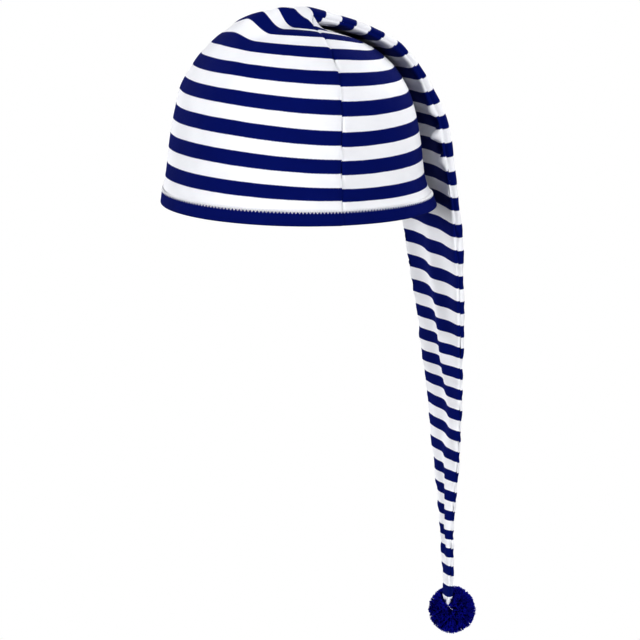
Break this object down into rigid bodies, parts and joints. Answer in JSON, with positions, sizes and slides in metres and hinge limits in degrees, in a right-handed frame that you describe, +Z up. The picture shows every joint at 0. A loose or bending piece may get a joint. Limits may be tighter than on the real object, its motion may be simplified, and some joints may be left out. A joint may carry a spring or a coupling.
{
  "type": "nightcap",
  "caption": "Striped jersey nightcap as worn: a domed cap with a bound rim, and a long tapering tail that folds back over the crown and hangs down behind to a yarn pompom.",
  "frame": {"origin": "middle of the head opening, level with the rim, where the cap sits on the head", "axes": "+Z up out of the crown, -Y the way the wearer faces, +X to the wearer's left"},
  "size_m": [0.1568, 0.2358, 0.4732],
  "materials": {
    "striped_jersey": "matt cotton jersey, rings of white and royal navy of equal width",
    "band_jersey": "matt cotton jersey, plain royal navy",
    "pompom_yarn": "cut yarn, matt"
  },
  "bodies": {
    "root": {"front_panel": "striped_jersey", "back_panel": "striped_jersey", "hem_band": "band_jersey", "pompom": "pompom_yarn"}
  },
  "joints": []
}
